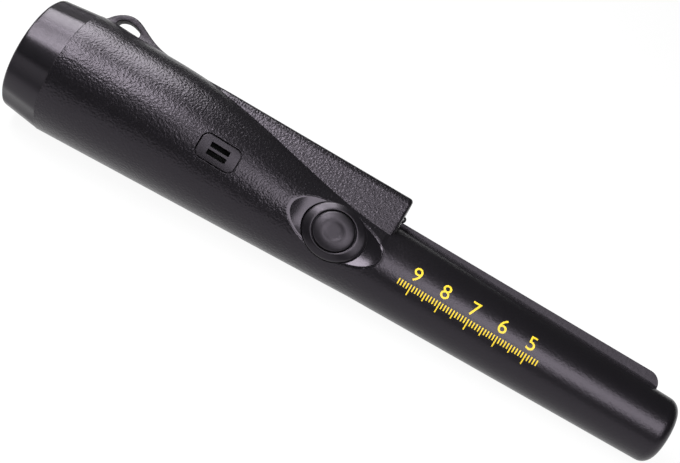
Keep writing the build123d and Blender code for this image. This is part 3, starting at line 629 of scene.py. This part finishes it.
def softened(points):
    """Line of points with its corners cut, between the same ends."""
    for _ in range(LOOP_SOFTENING):
        cut = []
        for a, b in zip(points, points[1:]):
            cut += [between(a, b, share) for share in CORNER_CUTS]
        points = [points[0], *cut, points[-1]]
    return points


def even_points(points, count):
    """So many points at even steps along a line of points."""
    spans = [math.dist(a, b) for a, b in zip(points, points[1:])]
    spread = [points[0]]
    for i in range(1, count - 1):
        left = sum(spans) * i / (count - 1)
        k = 0
        while left > spans[k]:
            left -= spans[k]
            k += 1
        spread.append(between(points[k], points[k + 1], left / spans[k]))
    return spread + [points[-1]]


def loop_half(y):
    """Half the loop's width, which spreads towards its foot."""
    share = soft_step((y - LOOP_FOOT_TOP) / (LOOP_SLIM_Y - LOOP_FOOT_TOP))
    return LOOP_FOOT_HALF + (LOOP_HALF - LOOP_FOOT_HALF) * share


def add_lanyard_loop():
    floor = [(LOOP_ARCH[-1][0], LOOP_FLOOR), (LOOP_ARCH[0][0], LOOP_FLOOR)]
    outer = list(LOOP_ARCH) + even_points(floor, LOOP_FLOOR_POINTS)
    hole = softened(LOOP_HOLE)
    hole_floor = even_points([hole[-1], hole[0]], LOOP_FLOOR_POINTS + 2)[1:-1]
    inner = even_points(hole, len(LOOP_ARCH)) + hole_floor
    turns = even_steps(0.0, math.pi / 2, LOOP_EDGE_STEPS)
    stations = [(0, LOOP_EDGE, turn) for turn in turns]
    stations += [(1, LOOP_HOLE_EDGE, turn) for turn in reversed(turns)]
    rings = []
    for from_hole, edge, turn in stations:
        ring = []
        for a, b in zip(outer, inner):
            gap = math.dist(a, b)
            edge_here = min(edge, LOOP_EDGE_LIMIT * gap)
            x, y = between(a, b, abs(from_hole - edge_here * (1 - math.cos(turn)) / gap))
            ring.append((x, y, loop_half(y) - edge_here * (1 - math.sin(turn))))
        rings.append(ring)
    rings += [[(x, y, -z) for x, y, z in ring] for ring in reversed(rings)]
    form = bmesh.new()
    add_skin(form, rings)
    finish = finish_of("lanyard_loop")
    add_form(form, "loop_arch", finish, "tool", node="lanyard_loop")


# Cap with softly edged flutes, and a thread cut into its plug
CAP_REAR_R = 18.805
CAP_FRONT_R = 20.425
CAP_EDGE = 1.0
CAP_END_R = (0.3, 9.0, CAP_REAR_R - CAP_EDGE - 0.1)  # rings of the flat end
CAP_EDGE_X = (0.0, 0.02, 0.08, 0.18, 0.32, 0.5, 0.72, CAP_EDGE)  # rings round its edge
CAP_FLOOR = 4.5  # x of the plug's bottom
CAP_FLOOR_R = 0.3  # of the last ring there
CAP_STEPS = 180
CAP_HEAD_STEPS = 8
FLUTES = 9
FLUTE_DEPTH = 0.52
FLUTE_R = 34.0
FLUTE_TURN = math.radians(77.5)  # of the first flute, from the hood's side
FLUTE_SOFT = 0.35  # difference of radius over which the flutes' edges are rounded
PLUG_R = 16.455
PLUG_BORE = 15.235
PLUG_END = 22.0
PLUG_CHAMFER = 0.4
THREAD_START = 15.4
THREAD_END = PLUG_END - 0.6
THREAD_PITCH = 3.0
THREAD_DEPTH = 0.55
THREAD_RUN_OUT = 0.8
THREAD_MIDDLE, THREAD_SWING = 0.5, 0.9  # of the wave that the groove's section follows
THREAD_STEPS = 32


def cap_head_r(x, turn):
    """Radius of the cap's head: a cone with its rear edge rounded, cut by the flutes."""
    cone = CAP_REAR_R + (CAP_FRONT_R - CAP_REAR_R) * x / CAP_LENGTH
    round_in = max(CAP_EDGE - x, 0.0)
    plain = cone - CAP_EDGE + math.sqrt(CAP_EDGE**2 - round_in**2)
    pitch = 2 * math.pi / FLUTES
    aside = (turn - FLUTE_TURN + pitch / 2) % pitch - pitch / 2
    axis = cone + FLUTE_R - FLUTE_DEPTH
    flute = axis * math.cos(aside) - math.sqrt(FLUTE_R**2 - (axis * math.sin(aside)) ** 2)
    blend = max(FLUTE_SOFT - abs(plain - flute), 0.0) / FLUTE_SOFT
    return min(plain, flute) - blend * blend * FLUTE_SOFT / 4


def cap_plug_r(x, turn):
    """Radius of the plug, with the groove of a right-hand thread that runs out at both ends."""
    wave = math.cos(2 * math.pi * (x - THREAD_START) / THREAD_PITCH - turn)
    groove = THREAD_DEPTH * soft_step(THREAD_MIDDLE + THREAD_SWING * wave)
    from_end = max(min(x - THREAD_START, THREAD_END - x), 0.0)
    run_out = min(from_end, THREAD_RUN_OUT) / THREAD_RUN_OUT
    chamfer = PLUG_R + PLUG_END - PLUG_CHAMFER - x
    return min(PLUG_R - groove * run_out, chamfer)


def add_cap():
    turns = full_turn(CAP_STEPS)

    def ring(x, radius):
        reach = [(t, radius(x, t)) for t in turns]
        return [(x, CAP_AXIS_Y + r * math.cos(t), r * math.sin(t)) for t, r in reach]

    def plain(radius):
        return lambda x, turn: radius

    head_x = CAP_EDGE_X + tuple(even_steps(CAP_EDGE, CAP_LENGTH, CAP_HEAD_STEPS)[1:])
    plug_x = even_steps(THREAD_START, PLUG_END - PLUG_CHAMFER, THREAD_STEPS)[1:] + [PLUG_END]
    rings = [ring(0, plain(radius)) for radius in CAP_END_R]
    rings += [ring(x, cap_head_r) for x in head_x]
    rings += [ring(x, plain(PLUG_R)) for x in (CAP_LENGTH, THREAD_START)]
    rings += [ring(x, cap_plug_r) for x in plug_x]
    rings += [ring(x, plain(PLUG_BORE)) for x in (PLUG_END, CAP_FLOOR)]
    rings += [ring(CAP_FLOOR, plain(CAP_FLOOR_R))]
    form = bmesh.new()
    add_skin(form, rings, ends=True)
    finish = finish_of("battery_cap")
    add_form(form, "cap_fluted", finish, "cap", node="battery_cap")


# Bead moulded along both sides of the blade's foot
BEAD_R = 1.3
BEAD_END_R = 0.3
BEAD_GAP = 0.1  # to the hood's front and to the blade's end
BEAD_RUN_OUT = 3.0
BEAD_RUN_OUT_SHARES = (0.15, 0.3, 0.5, 0.75)  # further places there
BEAD_PLACES = 30
BEAD_STEPS = 10
BEAD_SUNK = 0.05  # how far the fillet's two edges lie below the surfaces
BEAD_SUNK_POWER = 8
BEAD_ROOT = 0.4  # how deep its root lies in the blade and in the tube


def bead_section(x, radius):
    """Points of the hollow fillet between the blade's side and the tube, then a point in both."""
    tube = probe_r(x)
    centre_z = BLADE_HALF + radius
    centre_y = math.sqrt((tube + radius) ** 2 - centre_z**2)
    end = math.atan2(-centre_y, -centre_z)
    points = []
    for i, angle in enumerate(even_steps(-math.pi, end, BEAD_STEPS)):
        reach = radius + BEAD_SUNK * (2 * i / BEAD_STEPS - 1) ** BEAD_SUNK_POWER
        points.append((x, centre_y + reach * math.sin(angle), centre_z + reach * math.cos(angle)))
    return points + [(x, tube - BEAD_ROOT, BLADE_HALF - BEAD_ROOT)]


def add_blade_bead():
    form = bmesh.new()
    first, last = HOOD_FACE + BEAD_GAP, BLADE_END - BEAD_GAP
    places = even_steps(first, last, BEAD_PLACES)
    places += [last - BEAD_RUN_OUT * share for share in BEAD_RUN_OUT_SHARES]
    for side in (1, -1):
        rings = []
        for x in sorted(places):
            share = min((last - x) / BEAD_RUN_OUT, 1.0)
            radius = BEAD_END_R + (BEAD_R - BEAD_END_R) * math.sqrt(share * (2 - share))
            rings.append([(a, b, side * c) for a, b, c in bead_section(x, radius)])
        add_skin(form, rings, ends=True)
    add_form(form, "blade_bead", finish_of("scraper_blade"), "tool")


# Depth scale printed on the probe, in centimetres from the tip
PRINT_PROUD = 0.03
PRINT_SUNK = 0.03
PRINT_EDGE = 0.8  # longer edges are cut, so that the print follows the tube
PRINT_CUTS = 3
CENTIMETRE = 10
SCALE_FIRST = 5
SCALE_LAST = 9
NUMBER_HEIGHT = 4.6
NUMBER_OVER_SIZE = 0.7  # a number's height over its font size
NUMBER_CURVE_STEPS = 6
NUMBER_Y = 1.9
TICK_TOP = -1.7
TICK_WIDTH = 0.4
TICK_LENGTHS = {10: 3.6, 5: 2.7, 1: 1.9}  # for marks at multiples of so many millimetres
TICKS_PAST = 4  # marks before the first number and after the last


def print_ink():
    finish = Finish("print_ink", Specular_IOR_Level=0.4)
    finish.colour(finish.noise(size=1.2, detail=5.0), (0.6, 0.42, 0.012), (0.7, 0.5, 0.02))
    finish.roughness(finish.noise(size=0.6), smooth=0.4, rough=0.52)
    finish.relief(finish.noise(size=0.2), depth=0.01)
    return finish.material


def number_outline(text):
    """Flat mesh of a number, in millimetres, on a base line centred on the origin."""
    curve = bpy.data.curves.new("number", "FONT")
    curve.body = text
    curve.size = NUMBER_HEIGHT / NUMBER_OVER_SIZE
    curve.align_x = "CENTER"
    curve.resolution_u = NUMBER_CURVE_STEPS
    source = add_object("number", curve)
    mesh = bpy.data.meshes.new_from_object(source)
    bpy.data.objects.remove(source)
    bpy.data.curves.remove(curve)
    return mesh


def add_numbers(form):
    for number in range(SCALE_FIRST, SCALE_LAST + 1):
        mesh = number_outline(str(number))
        place = (LENGTH - CENTIMETRE * number, NUMBER_Y - NUMBER_HEIGHT / 2, 0)
        mesh.transform(Matrix.Translation(place))
        form.from_mesh(mesh)
        bpy.data.meshes.remove(mesh)


def add_ticks(form):
    first = CENTIMETRE * SCALE_FIRST - TICKS_PAST
    last = CENTIMETRE * SCALE_LAST + TICKS_PAST
    for millimetre in range(first, last + 1):
        step = next(multiple for multiple in TICK_LENGTHS if millimetre % multiple == 0)
        low = TICK_TOP - TICK_LENGTHS[step]
        left = LENGTH - millimetre - TICK_WIDTH / 2
        right = LENGTH - millimetre + TICK_WIDTH / 2
        corners = [(left, low), (right, low), (right, TICK_TOP), (left, TICK_TOP)]
        form.faces.new([form.verts.new((x, y, 0)) for x, y in corners])


def put_in_order(items, place):
    """Sorts verts or faces by their place, since an extrusion's order differs from run to run."""
    order = {item: i for i, item in enumerate(sorted(items, key=place))}
    items.sort(key=order.get)


def add_depth_scale():
    """Numbers and marks as one thin print, wrapped round the probe."""
    form = bmesh.new()
    add_numbers(form)
    add_ticks(form)
    bmesh.ops.triangulate(form, faces=form.faces[:])
    long_edges = [edge for edge in form.edges if edge.calc_length() > PRINT_EDGE]
    bmesh.ops.subdivide_edges(form, edges=long_edges, cuts=PRINT_CUTS)
    bmesh.ops.triangulate(form, faces=form.faces[:])
    raised = bmesh.ops.extrude_face_region(form, geom=form.faces[:])["geom"]
    for item in raised:
        if isinstance(item, bmesh.types.BMVert):
            item.co.z = 1.0  # marks the raised side
    for vert in form.verts:
        x, around, level = vert.co
        radius = probe_r(x) + (PRINT_PROUD if level else -PRINT_SUNK)
        angle = around / probe_r(x)
        vert.co = at(x, radius * math.sin(angle), radius * math.cos(angle))
    put_in_order(form.verts, lambda vert: vert.co[:])
    put_in_order(form.faces, lambda face: face.calc_center_median()[:])
    add_form(form, "depth_scale", print_ink(), "tool", smooth=False)


add_camera()
add_lights()
add_world()
add_floor()
add_finishes()
add_button()
add_lanyard_loop()
add_cap()
add_blade_bead()
add_depth_scale()
bpy.context.scene.view_settings.view_transform = "Standard"
